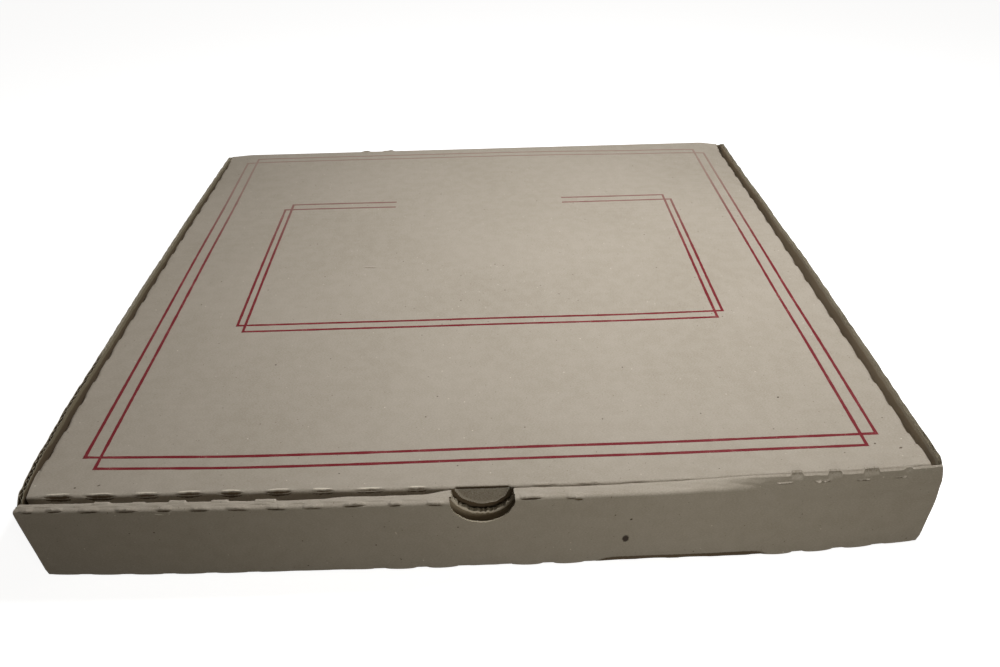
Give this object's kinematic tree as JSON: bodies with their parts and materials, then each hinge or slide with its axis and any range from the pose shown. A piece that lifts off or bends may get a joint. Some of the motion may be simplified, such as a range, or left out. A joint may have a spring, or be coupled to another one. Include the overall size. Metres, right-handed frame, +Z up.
{
  "type": "pizza box",
  "caption": "Flat square corrugated cardboard food box, folded from a sheet, with a rolled front wall, a thumb notch and a hinged tuck-in lid with printed red line frames.",
  "frame": {"origin": "on the resting surface, under the middle of the closed box", "axes": "+Z up from the base, +X to the right along the front wall, +Y from the front wall to the hinge at the back"},
  "size_m": [0.337, 0.318, 0.0372],
  "materials": {
    "board_tray": "matte recycled corrugated board",
    "board_lid": "matte recycled corrugated board",
    "red_print": "matte printed ink"
  },
  "bodies": {
    "tray": {"tray": "board_tray"},
    "lid": {"lid": "board_lid", "outer_frame_print": "red_print", "inner_frame_print": "red_print"}
  },
  "joints": [
    {"name": "lid_hinge", "type": "hinge", "parent": "tray", "child": "lid", "pos_m": [0, 0.1582, 0.0349], "axis": [-1, 0, 0], "range_deg": [0, 180]}
  ]
}
